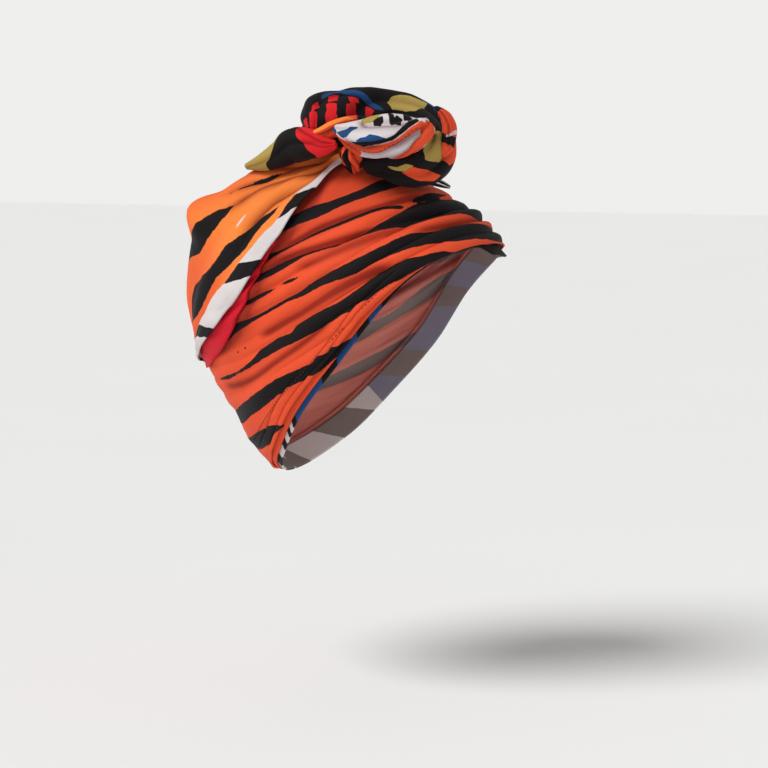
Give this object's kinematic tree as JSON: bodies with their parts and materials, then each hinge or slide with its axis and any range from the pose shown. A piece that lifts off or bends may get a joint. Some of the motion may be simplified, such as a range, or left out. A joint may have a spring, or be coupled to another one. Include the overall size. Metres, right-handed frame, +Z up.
{
  "type": "turban headwrap",
  "caption": "Scarf wound round the head and over the crown, gathered into a rosette knot above the right temple, with a folded rim and an open hollow for the head",
  "frame": {"origin": "top of the head hollow, straight above the middle of the rim, where the wrap sits on the crown of the head", "axes": "+Z up as worn on an upright head, the face looks along -Y, +X is the wearer's left"},
  "size_m": [0.1584, 0.1864, 0.2191],
  "materials": {
    "wrap_band": "smooth matt weave with a soft sheen",
    "rim_fold": "smooth matt weave with a soft sheen",
    "under_band": "smooth matt weave with a soft sheen",
    "crown_drape": "smooth matt weave with a soft sheen",
    "hem_facing_right": "smooth matt weave with a soft sheen",
    "hem_facing_left": "smooth matt weave with a soft sheen",
    "crown_fold": "smooth matt weave with a soft sheen",
    "knot_coil": "smooth matt weave with a soft sheen",
    "knot_lobe": "smooth matt weave with a soft sheen",
    "knot_neck": "smooth matt weave with a soft sheen",
    "knot_strand": "smooth matt weave with a soft sheen",
    "knot_pleat": "smooth matt weave with a soft sheen",
    "knot_tail": "smooth matt weave with a soft sheen"
  },
  "bodies": {
    "root": {"wrap_band": "wrap_band", "rim_fold": "rim_fold", "under_band": "under_band", "crown_drape": "crown_drape", "hem_facing_right": "hem_facing_right", "hem_facing_left": "hem_facing_left", "crown_fold": "crown_fold", "knot_coil": "knot_coil", "knot_lobe": "knot_lobe", "knot_neck": "knot_neck", "knot_strand": "knot_strand", "knot_pleat": "knot_pleat", "knot_tail": "knot_tail"}
  },
  "joints": []
}
